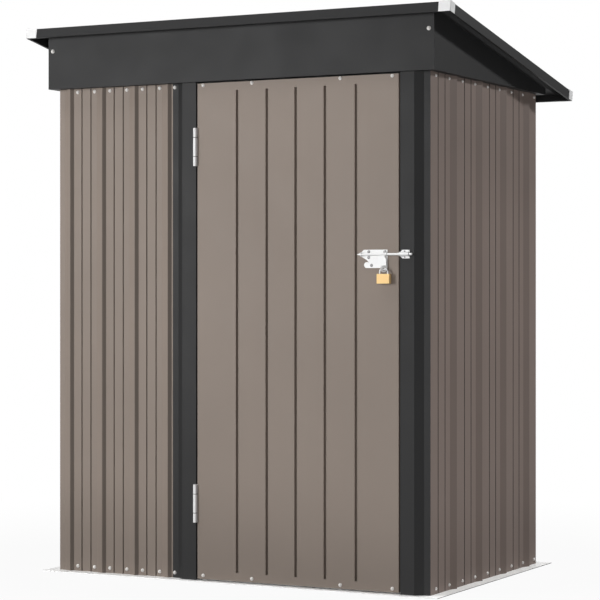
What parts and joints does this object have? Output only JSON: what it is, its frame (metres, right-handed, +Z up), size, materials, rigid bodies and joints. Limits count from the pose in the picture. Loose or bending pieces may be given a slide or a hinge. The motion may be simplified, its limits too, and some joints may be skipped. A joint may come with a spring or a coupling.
{
  "type": "metal storage shed",
  "caption": "Small pent-roof metal garden shed with ribbed sheet walls, a side-hinged grooved door and a sliding bolt latch held by a padlock.",
  "frame": {"origin": "centre of the roof's outline in plan, at the ground", "axes": "+Z up; the front with the door faces -Y; +X towards the latch post, to the right for a viewer in front of the door"},
  "size_m": [1.503, 1.0355, 1.7637],
  "materials": {
    "taupe_sheet": "matte taupe paint",
    "dark_trim": "matte dark grey paint",
    "inner_frame": "matte dark grey paint",
    "galvanised_rail": "galvanised",
    "corner_cap": "matte white",
    "hinge_steel": "zinc plated",
    "latch_steel": "zinc plated",
    "shackle_steel": "polished",
    "padlock_brass": "satin brass"
  },
  "bodies": {
    "shed": {"front_base_rail": "galvanised_rail", "back_base_rail": "galvanised_rail", "left_base_rail": "galvanised_rail", "right_base_rail": "galvanised_rail", "front_wall": "taupe_sheet", "left_wall": "taupe_sheet", "right_wall": "taupe_sheet", "back_wall": "taupe_sheet", "front_left_angle": "inner_frame", "front_right_angle": "inner_frame", "back_left_angle": "inner_frame", "back_right_angle": "inner_frame", "hinge_jamb": "dark_trim", "latch_post": "dark_trim", "front_top_rail": "inner_frame", "back_top_rail": "inner_frame", "left_top_rail": "inner_frame", "right_top_rail": "inner_frame", "front_fascia": "dark_trim", "back_fascia": "dark_trim", "left_gable": "dark_trim", "right_gable": "dark_trim", "left_roof_sheet": "dark_trim", "middle_roof_sheet": "dark_trim", "right_roof_sheet": "dark_trim", "front_roof_trim": "dark_trim", "back_roof_trim": "dark_trim", "left_roof_trim": "dark_trim", "right_roof_trim": "dark_trim", "front_left_cap": "corner_cap", "front_right_cap": "corner_cap", "back_left_cap": "corner_cap", "back_right_cap": "corner_cap", "upper_jamb_hinge": "hinge_steel", "lower_jamb_hinge": "hinge_steel", "latch_keeper": "latch_steel"},
    "door": {"door_panel": "taupe_sheet", "door_top_channel": "inner_frame", "door_bottom_channel": "inner_frame", "upper_door_hinge": "hinge_steel", "lower_door_hinge": "hinge_steel", "latch_plate": "latch_steel"},
    "bolt": {"latch_rod": "latch_steel", "padlock_body": "padlock_brass", "padlock_shackle": "shackle_steel"}
  },
  "joints": [
    {"name": "door_swing", "type": "hinge", "parent": "shed", "child": "door", "pos_m": [-0.1364, -0.47983, 0.8], "axis": [0, 0, -1], "range_deg": [0, 110]},
    {"name": "bolt_draw", "type": "slide", "parent": "door", "child": "bolt", "axis": [-1, 0, 0], "range_m": [0, 0.052]}
  ]
}
